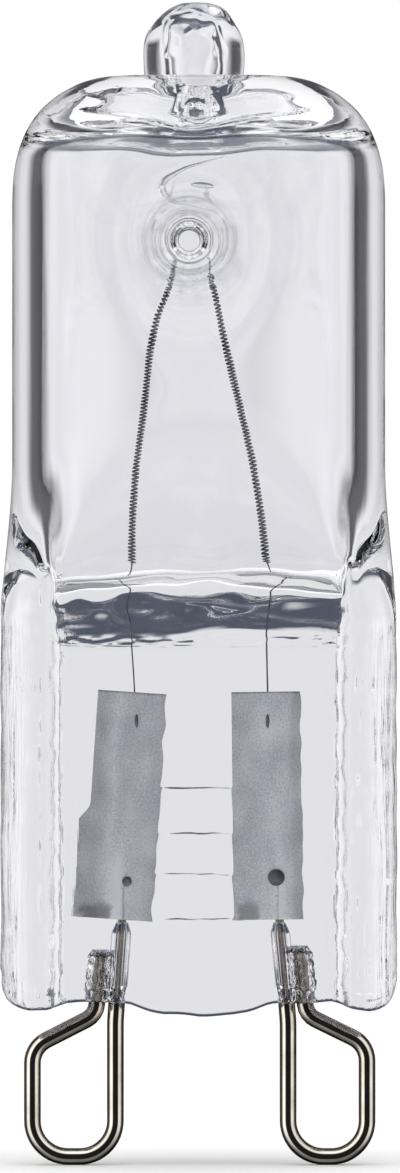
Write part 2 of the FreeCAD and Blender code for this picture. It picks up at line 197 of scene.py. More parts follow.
def scaleFor(size):
    # scale of a pattern whose features are size across
    return 1 / (size * millimetre)


# Fused quartz, drawn as tube and flame worked: clear, faintly cool, with long shallow draw lines all over,
# and finer, deeper lines down the rails of the seal, where the jaws of the press held it
def fusedQuartz():
    look = {"tint": "#fdfdff", "lineWidth": 0.9, "lineLength": 14.0, "bump": 0.006, "railLineWidth": 0.28,
            "railLineLength": 5.0, "railBump": 0.13, "railStart": 4.2, "railEdge": 0.4, "railTop": 19.4,
            "railFade": 1.0}
    material, shader = newMaterial("fused_quartz", {
        "Base Color": linearColour(look["tint"]), "Roughness": 0.0, "IOR": quartzIndex,
        "Transmission Weight": 1.0})
    place = addNode(material, "ShaderNodeTexCoord").outputs["Object"]
    heights = []
    for wide, tall, detail in ((look["lineWidth"], look["lineLength"], 2.0),
                               (look["railLineWidth"], look["railLineLength"], 3.0)):
        pulled = addNode(material, "ShaderNodeMapping", inputs={
            "Vector": place, "Scale": (scaleFor(wide), scaleFor(wide), scaleFor(tall))})
        lines = addNode(material, "ShaderNodeTexNoise", inputs={
            "Vector": pulled.outputs["Vector"], "Scale": 1.0, "Detail": detail})
        heights.append(lines.outputs["Fac"])
    drawn = addNode(material, "ShaderNodeBump", inputs={
        "Strength": look["bump"], "Distance": millimetre, "Height": heights[0]})
    parts = addNode(material, "ShaderNodeSeparateXYZ", inputs={"Vector": place})
    aside = addNode(material, "ShaderNodeMath", {"operation": "ABSOLUTE"}, {0: parts.outputs["X"]})
    across = addNode(material, "ShaderNodeMapRange", inputs={
        "Value": aside.outputs[0], "From Min": look["railStart"] * millimetre,
        "From Max": (look["railStart"] + look["railEdge"]) * millimetre})
    down = addNode(material, "ShaderNodeMapRange", inputs={
        "Value": parts.outputs["Z"], "From Min": (look["railTop"] + look["railFade"]) * millimetre,
        "From Max": look["railTop"] * millimetre})
    rails = addNode(material, "ShaderNodeMath", {"operation": "MULTIPLY"}, {
        0: across.outputs["Result"], 1: down.outputs["Result"]})
    strength = addNode(material, "ShaderNodeMath", {"operation": "MULTIPLY"}, {
        0: rails.outputs[0], 1: look["railBump"]})
    pressed = addNode(material, "ShaderNodeBump", inputs={
        "Strength": strength.outputs[0], "Distance": millimetre, "Height": heights[1],
        "Normal": drawn.outputs["Normal"]})
    joinUp(material, pressed.outputs["Normal"], shader.inputs["Normal"])
    return material


def toneOver(material, colour):
    # the piece's own tone attribute darkens a colour
    tone = addNode(material, "ShaderNodeAttribute", {"attribute_name": "tone"})
    toned = addNode(material, "ShaderNodeMix", {"data_type": "RGBA", "blend_type": "MULTIPLY"}, {
        0: 1.0, 6: colour, 7: tone.outputs["Fac"]})
    return toned.outputs[2]


# Nickel wire, cold drawn: bright, duller in patches, and faintly yellow from handling
def drawnNickel():
    look = {"bright": "#ded7cc", "dull": "#c4bcb0", "patch": 0.8, "patchRough": 0.075, "patchSmooth": 0.035}
    material, shader = newMaterial("drawn_nickel", {"Metallic": 1.0})
    place = addNode(material, "ShaderNodeTexCoord").outputs["Object"]
    patches = addNode(material, "ShaderNodeTexNoise", inputs={
        "Vector": place, "Scale": scaleFor(look["patch"]), "Detail": 4.0}).outputs["Fac"]
    colour = addNode(material, "ShaderNodeValToRGB", inputs={"Fac": patches},
                     stops=[(0.3, look["dull"]), (0.62, look["bright"])])
    joinUp(material, toneOver(material, colour.outputs["Color"]), shader.inputs["Base Color"])
    rough = addNode(material, "ShaderNodeMapRange", inputs={
        "Value": patches, "From Min": 0.3, "From Max": 0.7, "To Min": look["patchRough"],
        "To Max": look["patchSmooth"]})
    joinUp(material, rough.outputs["Result"], shader.inputs["Roughness"])
    return material


# Molybdenum foil, rolled and etched: pale grey satin with a fine grain in soft clouds
def rolledMolybdenum():
    look = {"pale": "#fafbff", "dark": "#ccd0dc", "grain": 0.07, "cloud": 1.6, "grainShare": 0.6, "bump": 0.3,
            "bumpHeight": 0.01}
    material, shader = newMaterial("rolled_molybdenum", {"Metallic": 0.35, "Roughness": 0.55})
    place = addNode(material, "ShaderNodeTexCoord").outputs["Object"]
    cloud = addNode(material, "ShaderNodeTexNoise", inputs={
        "Vector": place, "Scale": scaleFor(look["cloud"]), "Detail": 3.0})
    grain = addNode(material, "ShaderNodeTexNoise", inputs={
        "Vector": place, "Scale": scaleFor(look["grain"]), "Detail": 2.0})
    shade = addNode(material, "ShaderNodeMix", {"data_type": "FLOAT"}, {
        0: look["grainShare"], 2: cloud.outputs["Fac"], 3: grain.outputs["Fac"]})
    colour = addNode(material, "ShaderNodeValToRGB", inputs={"Fac": shade.outputs[0]},
                     stops=[(0.36, look["dark"]), (0.6, look["pale"])])
    # the foil's tone attribute darkens the colour with painted shade and lightens it with a painted highlight
    joinUp(material, toneOver(material, colour.outputs["Color"]), shader.inputs["Base Color"])
    bump = addNode(material, "ShaderNodeBump", inputs={
        "Strength": look["bump"], "Distance": look["bumpHeight"] * millimetre,
        "Height": grain.outputs["Fac"]})
    joinUp(material, bump.outputs["Normal"], shader.inputs["Normal"])
    return material


# Tungsten wire, drawn and annealed: dark satin grey
def drawnTungsten():
    look = {"dark": "#5a5b60", "pale": "#7d7f86", "patch": 0.4}
    material, shader = newMaterial("drawn_tungsten", {"Metallic": 0.9, "Roughness": 0.42})
    place = addNode(material, "ShaderNodeTexCoord").outputs["Object"]
    patches = addNode(material, "ShaderNodeTexNoise", inputs={
        "Vector": place, "Scale": scaleFor(look["patch"])})
    colour = addNode(material, "ShaderNodeValToRGB", inputs={"Fac": patches.outputs["Fac"]},
                     stops=[(0.35, look["dark"]), (0.65, look["pale"])])
    joinUp(material, colour.outputs["Color"], shader.inputs["Base Color"])
    return material


quartz = fusedQuartz()
nickel = drawnNickel()
molybdenum = rolledMolybdenum()
tungsten = drawnTungsten()
print("materials made")


# Glass capsule: outside skin, cavity skin, and the air gaps round the leads and in the wall, in one mesh

capsule = {
    "tubeRadius": 6.9,
    "wall": 1.1,
    "sealFoot": 5.2,  # heights from here to footTop are stretched down to the wavy lower edge
    "footTop": 8.0,
    "neckStart": 19.0,
    "blendStart": 19.6,  # above this the web flows into the rails
    "blendDegrees": (4, 6),  # over so many degrees on the seal, and so many more on the tube
    "neckTop": 29.4,  # above this the tube is plain and round
    "floorStart": 21.9,
    "columns": 168,
    # rows of the two skins: from each height on, the step to the next
    "outerSteps": [(5.2, 0.24), (19.0, 0.06), (20.0, 0.16), (28.0, 0.28), (29.4, 0.195), (35.6, 0.0)],
    "innerSteps": [(22.36, 0.13), (29.4, 0.195), (35.9, 0.0)],
    # fine rows where the cavity's floor turns up
    "floorRises": [0.0, 0.004, 0.012, 0.025, 0.045, 0.07, 0.11, 0.16, 0.22, 0.29, 0.37],
    # radius and height up the dome, round its sink and up the exhaust stub, outside and in the cavity
    "domeTop": [(6.9, 35.6), (6.88, 36.3), (6.80, 37.0), (6.62, 37.7), (6.32, 38.4), (5.85, 39.05),
                (5.2, 39.6), (4.4, 40.02), (3.7, 40.22), (3.2, 40.25), (2.8, 40.1), (2.45, 39.75),
                (2.15, 39.25), (1.9, 38.85), (1.68, 38.68), (1.52, 38.75), (1.55, 39.1), (1.66, 39.6),
                (1.78, 40.0), (1.86, 40.4), (1.88, 41.2), (1.84, 41.75), (1.66, 42.2), (1.36, 42.6),
                (0.98, 42.88), (0.5, 43.0), (0.0, 43.0)],
    "cavityTop": [(5.8, 35.9), (5.8, 36.8), (5.75, 37.25), (5.58, 37.62), (5.25, 37.9), (4.7, 38.05),
                  (4.0, 38.1), (3.0, 38.08), (2.0, 37.98), (1.3, 37.95), (0.8, 38.0), (0.62, 38.25),
                  (0.66, 38.9), (0.8, 40.2), (0.85, 41.0), (0.85, 41.7), (0.72, 42.05), (0.4, 42.2),
                  (0.0, 42.25)],
    "webHalf": 1.45,
    "webEdge": 49.5,  # degrees from the middle of the web
    # (degrees, x, y) from the web's edge up onto the rail
    "sealCorner": [(49.5, 5.25, 1.45), (50.6, 5.30, 1.55), (53.4, 5.44, 2.36), (55.0, 5.56, 2.49),
                   (57.5, 5.8, 2.5)],
    "railCentre": (5.8, 1.0),
    "railRound": 1.5,
    "railTurn": (57.5, 80.0),  # degrees over which the rail's rounded side turns
    "sideFade": (19.8, 26.0),  # heights over which the rails run out on the tube
    "endRound": 0.35,
    # height of the lower edge, distance of the web's slope and its start, by x or z
    "sealEnd": [(0.0, 5.52), (1.3, 5.6), (1.9, 5.72), (2.6, 5.98), (3.2, 6.05), (4.9, 6.05), (5.6, 5.82),
                (6.3, 5.75), (6.6, 5.8), (6.9, 5.95), (7.1, 6.15), (7.25, 6.5), (7.3, 6.8)],
    "webSlope": [(19.0, 1.45), (19.3, 1.45), (19.42, 1.6), (19.66, 1.64), (22.0, 2.9), (25.9, 6.7),
                 (30.0, 10.7)],
    "slopeStart": [(-5.3, 0.1), (-3.5, 0.0), (-1.3, 0.05), (0.7, 0.45), (2.6, 0.5), (3.5, 0.3), (5.3, 0.2)],
    "cornerPoints": 6,  # points of the slope that keep the corner at its foot
    "slopeZone": ((19.3, 19.9), (20.6, 22.0)),  # the slope's higher start on the right comes and goes here
    "neckSoftness": 3.4,
    # the cavity's floor: half its depth by the height above it, and its height by x
    "floorSlope": [(0.0, 0.0), (0.02, 0.9), (0.38, 1.5), (4.83, 5.84), (7.6, 8.54)],
    "floorHeight": [(-5.8, 21.15), (-5.2, 21.3), (-3.4, 21.55), (-1.3, 21.8), (0.7, 21.9), (3.5, 21.7),
                    (5.2, 21.4), (5.8, 21.25)],
    "floorWidth": 0.93,
    "cavitySoftness": 3.0,
    # melted waves across the web's slope, stretched along X and Z, each between the heights where it comes
    # and goes
    "neckWaves": [
        {"along": 0.6, "up": 1.0, "seed": 3, "size": 0.7, "depth": 0.07,
         "start": (19.3, 19.7), "stop": (21.0, 22.2)},
        {"along": 0.4, "up": 0.8, "seed": 11, "size": 0.55, "depth": 0.13,
         "start": (19.9, 20.6), "stop": (21.6, 23.0)},
        {"along": 1.0, "up": 1.6, "seed": 7, "size": 0.22, "depth": 0.12,
         "start": (19.26, 19.36), "stop": (19.4, 19.62)}],
    "railWaves": [(56, 0.5, 0.12), (91, 1.7, 0.07)],  # up to this angle: size and depth
    "railWaveFade": (20, 24),
    "endWave": (1.5, 0.12),  # the lower edge's
    # air gaps: both ends (x, z), radius and roughness
    "voids": [((-3.03, 6.15), (-2.83, 8.98), 0.37, 0.0), ((3.26, 6.15), (2.98, 8.98), 0.37, 0.0),
              ((-3.76, 6.25), (-3.62, 7.98), 0.45, 0.1), ((3.91, 6.25), (3.72, 8.13), 0.45, 0.1)],
    # the air line's course (x, z), its radius along it, and the bubble's x, z, half width and half height
    "airLine": [(0.98, 37.19), (0.25, 37.05), (-0.50, 36.87), (-1.28, 36.48), (-1.50, 36.19), (-1.32, 35.93),
                (-0.95, 35.73), (-0.13, 35.63), (0.75, 35.37), (1.24, 34.85), (1.38, 34.3)],
    "airLineRadii": [(0.0, 0.015), (0.2, 0.06), (0.4, 0.15), (0.52, 0.11), (0.75, 0.06), (1.0, 0.015)],
    "bubble": (0.2, 36.3, 0.5, 0.17),
    # the sealed exhaust stub: a little off the axis, melted off askew, with a rough bore; pairs are the
    # heights, or the distances from the axis, over which each change comes in
    "stub": {
        "foot": 38.4, "reach": (1.9, 2.6), "aside": 0.17, "rise": (38.6, 40.2), "melt": (41.0, 42.2),
        "sink": 0.16, "sinkLeft": (0.5, 2.0), "fall": 0.25, "fallRight": (1.0, 1.9), "wave": 1.1,
        "waveX": 0.1, "waveY": 0.14, "boreRadius": 1.2, "boreMelt": (40.0, 41.6), "boreWave": (0.45, 0.1),
        "boreTopWave": (0.5, 0.12)},
    # the lines that the press plate's joints left across the front of the web; fade is in degrees from its
    # middle, and steps are the fine rows at each line
    "pressLines": {
        "heights": [9.07, 10.73, 12.25, 13.91], "depth": 0.12, "rise": 0.75, "fall": 0.1, "fade": (10, 12.5),
        "steps": [-0.3, -0.15, -0.06, -0.03, 0.0, 0.03, 0.06, 0.09, 0.12, 0.2]},
    # the dimples that leave the post: they reach from the height "from" up to the dome's inner ring, and each
    # skin's grid has a round hole there; the knots are the outer one's (depth, radius), tight at its flat end
    # and soft where it flares into the tube
    "dimple": {
        "x": -0.35, "z": 34.2, "postRadius": 1.28, "thinnest": 0.9, "from": 24, "upright": 3.5, "dome": 3.0,
        "outerHole": 1.7, "innerHole": 2.2, "holeHalf": 10, "holeReach": 2.1, "tightPoints": 44,
        "knots": [(0.4, 0.0), (0.4, 0.5), (0.6, 0.68), (1.4, 0.92), (2.6, 1.2), (3.9, 1.55), (5.0, 1.98),
                  (5.8, 2.55), (6.38, 3.3), (6.72, 4.1), (6.86, 4.9), (6.9, 5.8), (6.9, 9.0)]},
}
stub = capsule["stub"]
pressLines = capsule["pressLines"]
dimple = capsule["dimple"]

# quarter of the seal's outline as (angle, x, y), from the edge of the web round to the side of the rail
railPath = list(capsule["sealCorner"])
for turn in range(15, 91, 15):
    railPath.append((mixed(*capsule["railTurn"], turn / 90),
                     capsule["railCentre"][0] + capsule["railRound"] * math.sin(math.radians(turn)),
                     capsule["railCentre"][1] + capsule["railRound"] * math.cos(math.radians(turn))))
railPath.append((90.0, capsule["railCentre"][0] + capsule["railRound"], 0.0))


def sealPlace(fold):
    # x and y on the seal's outline, fold degrees from the middle of the web
    if fold < capsule["webEdge"]:
        return capsule["tubeRadius"] * math.sin(math.radians(fold)), capsule["webHalf"]
    x = readOff([(at, x) for at, x, y in railPath], fold)
    y = readOff([(at, y) for at, x, y in railPath], fold)
    return x, y


def foldOf(degrees):
    # angle within a quarter, and the signs of x and y; angles start at the front and grow to the right
    degrees = degrees % 360
    if degrees <= 90:
        return degrees, 1, -1
    if degrees <= 180:
        return 180 - degrees, 1, 1
    if degrees <= 270:
        return degrees - 180, -1, 1
    return 360 - degrees, -1, -1


cornered, flowing = rounded(capsule["webSlope"], 0.1, 3), rounded(capsule["webSlope"], 0.1, 14)
webSlopes = cornered[:capsule["cornerPoints"]] + flowing[capsule["cornerPoints"]:]
floorSlopes = rounded(capsule["floorSlope"], 0.06, 8)
slopeStarts = rounded(capsule["slopeStart"], 0.2, 12)
floorHeights = rounded(capsule["floorHeight"], 0.2, 12)


def roundingAt(most, roundY):
    # how widely a corner is rounded: less towards the sides, where the skin is shallow
    return min(most, 0.6 * roundY + 0.3)


def outerPlace(degrees, row):
    # point of the outside skin, without the dimples
    radius, z, squeeze, lift = row
    fold, signX, signY = foldOf(degrees)
    roundX, roundY = radius * math.sin(math.radians(fold)), radius * math.cos(math.radians(fold))
    if z > capsule["neckTop"]:
        return stubPlace(signX * roundX, signY * roundY, z)
    sealX, sealY = sealPlace(fold)
    edge = capsule["webEdge"]
    side = eased(z, *capsule["sideFade"])
    below, above = capsule["slopeZone"]
    shift = readOff(slopeStarts, signX * roundX) * eased(z, *below) * (1 - eased(z, *above))
    slope = readOff(webSlopes, z - shift)
    soft = roundingAt(capsule["neckSoftness"], roundY)
    webY = softMin(roundY, slope, soft) if z > capsule["neckStart"] else capsule["webHalf"]
    for wave in capsule["neckWaves"]:
        height = ripple(signX * roundX * wave["along"], signY * wave["seed"], z * wave["up"], wave["size"],
                        wave["depth"])
        webY += height * eased(z, *wave["start"]) * (1 - eased(z, *wave["stop"]))
    railX, railY = mixed(sealX, roundX, side), mixed(sealY, roundY, side)
    if z > capsule["blendStart"]:
        railY = mixed(railY, softMin(roundY, max(slope, railY), soft), side)
        narrow, wider = capsule["blendDegrees"]
        toRail = eased(fold, edge, edge + wider * side + narrow)
        x, y = mixed(roundX, railX, toRail), mixed(webY, railY, toRail)
    else:
        x, y = (sealX, sealY) if fold >= edge else (roundX, webY)
    if fold > edge - 0.5:
        size, depth = next((size, depth) for limit, size, depth in capsule["railWaves"] if fold < limit)
        depth *= 1 - eased(z, *capsule["railWaveFade"])
        x += ripple(signX * 9, signY * 3 + fold * 0.1, z, size, depth) * squeeze
        y += ripple(signX * 4, signY * 7 + fold * 0.1, z, size, depth)
    elif signY < 0 and fold < pressLines["fade"][1]:
        y -= lineDepth(x * signX, z) * (1 - eased(fold, *pressLines["fade"]))
    if z < capsule["footTop"]:
        y, z = endPlace(x, y, z, signX, squeeze, lift)
    return Vector((signX * x, signY * y, z))


def lineDepth(x, z):
    # each press line deepens slowly from below and falls back sharply above
    total = 0.0
    for line in pressLines["heights"]:
        above = z - line - ripple(x, 5.0, line, 0.5, 0.06) - ripple(x, 2.0, line, 0.17, 0.05)
        depth = pressLines["depth"] + ripple(x, 8.0, line, 0.3, 0.07)
        total += depth * max(0.0, min(1 + above / pressLines["rise"], 1 - above / pressLines["fall"]))
    return total


def endPlace(x, y, z, signX, squeeze, lift):
    # depth and height at the seal's lower edge: wavy, rounded front and back, and closed underneath
    end = readOff(capsule["sealEnd"], abs(x)) + ripple(signX * x, 0.0, 3.0, *capsule["endWave"])
    turned = capsule["endRound"]
    if squeeze < 1:
        return (y - turned) * squeeze, end
    if lift is not None:
        angle = math.radians(lift)
        return y - turned + turned * math.sin(angle), end + turned * (1 - math.cos(angle))
    z = mixed(end, capsule["footTop"], (z - capsule["sealFoot"]) / (capsule["footTop"] - capsule["sealFoot"]))
    return y, max(z, end + turned + (z - end) * 0.3) if z < end + 0.8 else z


def stubPlace(x, y, z):
    # point of the tube's and the dome's skin, shifted and melted at the stub
    away = math.hypot(x, y)
    if z < stub["foot"] or away > stub["reach"][1]:
        return Vector((x, y, z))
    x -= stub["aside"] * eased(z, *stub["rise"]) * (1 - eased(away, *stub["reach"]))
    if z > stub["melt"][0]:
        melt = eased(z, *stub["melt"])
        askew = stub["sink"] * eased(-x, *stub["sinkLeft"]) + stub["fall"] * eased(x, *stub["fallRight"])
        z -= (z - stub["melt"][0]) * askew
        x += ripple(x, y, z, stub["wave"], stub["waveX"]) * melt
        y += ripple(y, z, x, stub["wave"], stub["waveY"]) * melt
    return Vector((x, y, z))


def borePlace(x, y, z):
    # point of the cavity's skin in the stub's bore
    rough = eased(z, *stub["boreMelt"])
    x += ripple(x, y, z, *stub["boreWave"]) * rough - stub["aside"] * eased(z, *stub["rise"])
    y += ripple(y, z, x, *stub["boreWave"]) * rough
    z += ripple(x + 5, z, y, *stub["boreTopWave"]) * rough
    return Vector((x, y, z))


def innerPlace(degrees, row):
    # point of the cavity's skin, without the post
    radius, z, squeeze, lift = row
    fold, signX, signY = foldOf(degrees)
    roundX, roundY = radius * math.sin(math.radians(fold)), radius * math.cos(math.radians(fold))
    if z > stub["foot"] and radius < stub["boreRadius"]:
        return borePlace(signX * roundX, signY * roundY, z)
    if z >= capsule["neckTop"]:
        return Vector((signX * roundX, signY * roundY, z))
    part = (z - capsule["floorStart"]) / (capsule["neckTop"] - capsule["floorStart"])
    x = roundX * mixed(capsule["floorWidth"], 1.0, eased(part, 0.0, 0.15))
    floor = readOff(floorHeights, signX * x)
    z = mixed(floor, capsule["neckTop"], part)
    slope = readOff(floorSlopes, z - floor)
    soft = min(roundingAt(capsule["cavitySoftness"], roundY), slope + 0.01)
    return Vector((signX * x, signY * max(softMin(roundY, slope, soft), 0.0), z))


# (radius, depth) down the outer dimple, its first part less rounded than the flare
tight, flared = rounded(dimple["knots"], 0.05, 16), rounded(dimple["knots"], 0.05, 90)
firstFlared = dimple["tightPoints"]
outerDimple = [(radius, depth) for depth, radius in tight[:firstFlared] + flared[firstFlared:]]


def innerFrom(profile):
    # the post and its flare: from the plain wall inwards, the inner skin stays parallel to the outer one where
    # a level ray that enters there comes out, as in pressed glass that thins towards the waist
    spot, flare = None, []
    for (br, by), (ar, ay) in zip(profile[::-1], profile[-2::-1]):
        length = math.hypot(ar - br, ay - by) or 1.0
        nr, ny = (ay - by) / length, (br - ar) / length  # the outer skin's normal
        turn = ny / quartzIndex - math.sqrt(1 - (nr / quartzIndex) ** 2)
        rayR, rayY = turn * nr, turn * ny - 1 / quartzIndex
        spot = spot or (ar, ay - capsule["wall"])
        # the bent ray is followed to the plane through the last inner point
        through = ((spot[0] - ar) * nr + (spot[1] - ay) * ny) / (rayR * nr + rayY * ny)
        spot = (ar + rayR * through, ay + rayY * through)
        if spot[0] < dimple["postRadius"] + 0.04 or spot[1] < dimple["thinnest"]:
            break
        flare.append(spot)
    return rounded([(dimple["postRadius"], 0.0), (dimple["postRadius"], 0.6)] + flare[::-1], 0.05, 10)


innerDimple = innerFrom(outerDimple)


def dimpledDepth(x, z, wall, radius, profile):
    # how far a skin stands off the middle plane; radius is the plain tube's, and where the wall already falls
    # away from it the dimple counts less
    sag = radius - readOff(profile, math.hypot(x - dimple["x"], z - dimple["z"]))
    return max(wall - sag * sag / (sag + radius - wall + 0.001), 0.0)


def addTube(mesh, rows, placeOf, upright, radius, profile, hole):
    # a skin round the axis, pressed in at the dimples, with a round hole at the front and back of the post
    columns, half, reach = capsule["columns"], dimple["holeHalf"], dimple["holeReach"]
    centreRow = min(range(len(rows)), key=lambda index: abs(rows[index][1] - dimple["z"]))

    def place(column, row):
        spot = placeOf(360 * column / columns, rows[row])
        away = (column + columns / 2) % columns - columns / 2
        if abs(away) > columns / 4:
            away = columns / 2 - column
        # the grid's squares round the post are drawn into circles
        a, b = away / half, (row - centreRow) / half
        extent = max(abs(a), abs(b))
        wall = abs(spot.y)
        if extent < 0.999:
            return None
        if extent < reach:
            turn = math.pi / 4 * (b / a if abs(a) >= abs(b) else 2 - a / b)
            turn += math.pi if (a if abs(a) >= abs(b) else b) < 0 else 0
            keep = eased(extent, 1.0, reach)
            spot.x = mixed(dimple["x"] + hole * extent * math.cos(turn), spot.x, keep)
            spot.z = mixed(dimple["z"] + hole * extent * math.sin(turn), spot.z, keep)
            wall = math.sqrt(max(readOff(upright, spot.z) ** 2 - spot.x ** 2, 0.0))
        if spot.z > dimple["from"] and rows[row][0] > dimple["dome"]:
            spot.y = math.copysign(dimpledDepth(spot.x, spot.z, wall, radius, profile), spot.y)
        return spot

    addSheet(mesh, columns, len(rows) - 1, place)


def addRings(mesh, rings, upright, radius, profile):
    # rings round the post's axis, as (radius, side), at the depth of a dimpled skin; side 0 is the middle plane
    columns = 8 * dimple["holeHalf"]

    def place(column, row):
        turn = math.pi * 2 * column / columns
        wide, side = rings[row]
        x, z = dimple["x"] + wide * math.cos(turn), dimple["z"] + wide * math.sin(turn)
        wall = math.sqrt(readOff(upright, z) ** 2 - x * x)
        return Vector((x, side * dimpledDepth(x, z, wall, radius, profile), z))

    addSheet(mesh, columns, len(rings) - 1, place)


def addInside(mesh, skin):
    # joins a closed hollow into the glass, its faces turned into the air
    bmesh.ops.remove_doubles(skin, verts=skin.verts, dist=skinMerge)
    bmesh.ops.recalc_face_normals(skin, faces=skin.faces)
    bmesh.ops.reverse_faces(skin, faces=skin.faces)
    data = bpy.data.meshes.new("hollow")
    skin.to_mesh(data)
    skin.free()
    mesh.from_mesh(data)
    bpy.data.meshes.remove(data)


def addVoids(mesh):
    # air gaps pressed in around the metal: a smooth capillary on each lead, a rough pocket at each return end
    for start, stop, radius, rough in capsule["voids"]:
        begin, end = Vector((start[0], 0.0, start[1])), Vector((stop[0], 0.0, stop[1]))
        columns, rows = 40, max(8, round((end - begin).length / 0.08))

        def place(column, row):
            turn = math.pi * 2 * column / columns
            part = min(max((row - 1) / (rows - 2), 0.0), 1.0)
            size = radius * (0.0 if row in (0, rows) else min(1.0, 0.6 + part * 3, 0.6 + (1 - part) * 3))
            spot = begin.lerp(end, part)
            across, deep = math.cos(turn), math.sin(turn)
            size += ripple(across * 2 + start[0], deep * 2, spot.z * 3, 0.5, rough) * (size > 0)
            return spot + Vector((across * size, deep * size, 0.0))

        skin = bmesh.new()
        addSheet(skin, columns, rows, place)
        addInside(mesh, skin)


def midWall(x, z):
    # depth halfway through the front wall beside the post
    outerRadius, cavityRadius = capsule["tubeRadius"], capsule["tubeRadius"] - capsule["wall"]
    front = dimpledDepth(x, z, math.sqrt(outerRadius ** 2 - x * x), outerRadius, outerDimple)
    back = dimpledDepth(x, z, math.sqrt(cavityRadius ** 2 - x * x), cavityRadius, innerDimple)
    return -(front + back) / 2


def addMarks(mesh):
    # an air line and a flat bubble drawn into the front wall above the post
    path = rounded(capsule["airLine"], 0.06, 12)
    points = [Vector((x, midWall(x, z), z)) for x, z in path]
    radii = [readOff(capsule["airLineRadii"], index / (len(points) - 1)) for index in range(len(points))]
    radii[0] = radii[-1] = 0.0
    skin = bmesh.new()
    sweepWire(skin, points, radii, 12)
    x, z, wide, high = capsule["bubble"]
    shift = Matrix.Translation(Vector((x, midWall(x, z), z)))
    bmesh.ops.create_uvsphere(skin, u_segments=24, v_segments=14, radius=1.0,
                              matrix=shift @ Matrix.Diagonal((wide, high, high, 1.0)))
    addInside(mesh, skin)


def heightsOf(steps):
    # heights from each (start, step) up to the next start
    return [z for low, high in zip(steps, steps[1:]) for z in stepped(low[0], high[0], low[1])]


def plainRows(heights, radius):
    # rows of a skin as (radius, z, squeeze towards the middle plane, degrees round the lower edge)
    return [(radius, z, 1.0, None) for z in heights]


def uprightOf(top):
    # (z, radius) of the part of a skin's profile that the dimples can reach
    highest = max(z for wide, z in top if wide > dimple["upright"])
    return sorted((z, wide) for wide, z in top if z <= highest)


def makeOuterSkin():
    tube, foot, hole = capsule["tubeRadius"], capsule["sealFoot"], dimple["outerHole"]
    top = rounded(capsule["domeTop"], 0.13, 6)
    heights = heightsOf(capsule["outerSteps"])
    heights += [line + step for line in pressLines["heights"] for step in pressLines["steps"]]
    rows = [(tube, foot, squeeze, None) for squeeze in (0.0, 0.35, 0.7)]
    rows += [(tube, foot, 1.0, lift) for lift in (0, 25, 50, 75)]
    rows += plainRows(sorted(heights), tube) + [(radius, z, 1.0, None) for radius, z in top]
    outer = bmesh.new()
    addTube(outer, rows, outerPlace, uprightOf(top), tube, outerDimple, hole)
    # the narrow end of each dimple, from the hole to its flat bottom
    radii = [hole] + [r for r, y in outerDimple if r < hole - 0.02][::-1][::3] + [0.0]
    for side in (-1, 1):
        addRings(outer, [(wide, side) for wide in radii], uprightOf(top), tube, outerDimple)
    bmesh.ops.remove_doubles(outer, verts=outer.verts, dist=skinMerge)
    bmesh.ops.recalc_face_normals(outer, faces=outer.faces)
    return outer


def makeInnerSkin():
    cavity, hole = capsule["tubeRadius"] - capsule["wall"], dimple["innerHole"]
    top = rounded(capsule["cavityTop"], 0.15, 4)
    heights = [capsule["floorStart"] + rise for rise in capsule["floorRises"]]
    heights += heightsOf(capsule["innerSteps"])
    rows = plainRows(heights, cavity) + [(radius, z, 1.0, None) for radius, z in top]
    inner = bmesh.new()
    addTube(inner, rows, innerPlace, uprightOf(top), cavity, innerDimple, hole)
    # the post, through the cavity from the front hole to the back hole
    radii = [r for r, y in innerDimple if r < hole - 0.02][::3][1:] + [hole]
    rings = [(wide, -1) for wide in radii[::-1]] + [(dimple["postRadius"], 0)] + [(wide, 1) for wide in radii]
    addRings(inner, rings, uprightOf(top), cavity, innerDimple)
    bmesh.ops.remove_doubles(inner, verts=inner.verts, dist=skinMerge)
    bmesh.ops.recalc_face_normals(inner, faces=inner.faces)
    bmesh.ops.reverse_faces(inner, faces=inner.faces)
    return inner


def makeCapsule():
    outer, inner = makeOuterSkin(), makeInnerSkin()
    addVoids(inner)
    addMarks(inner)
    shell = bpy.data.meshes.new("cavity")
    inner.to_mesh(shell)
    inner.free()
    outer.from_mesh(shell)
    bpy.data.meshes.remove(shell)
    openEdges = sum(1 for edge in outer.edges if len(edge.link_faces) != 2)
    print("capsule skins", len(outer.faces), "faces,", openEdges, "open edges")
    finishPiece(outer, "quartzCapsule", quartz, ["glass_envelope"], turnOut=False)


makeCapsule()


# Contact loops: lead, loop and return end in one bent wire

contactLoops = {
    "wireRadius": 0.31,
    # from the lead's end to the return end: x, z and the radius of each bend
    "left": [(-2.74, 10.4), (-3.08, 5.3, 6.0), (-3.08, 0.31, 1.32), (-6.15, 0.31, 1.32), (-6.15, 4.35, 0.95),
             (-3.8, 5.55, 0.7), (-3.62, 7.9)],
    "right": [(2.86, 10.6), (3.31, 5.3, 6.0), (3.31, 0.31, 1.32), (6.23, 0.31, 1.32), (6.23, 4.45, 0.95),
              (3.98, 5.55, 0.7), (3.72, 8.05)],
    "leadRadius": 0.16,
    "leadStart": (6.0, 6.6),  # heights over which the lead thins
    "endRound": 0.82,
    "burnt": 0.35,
    "burntFrom": (5.6, 6.3),  # heights over which it darkens
}


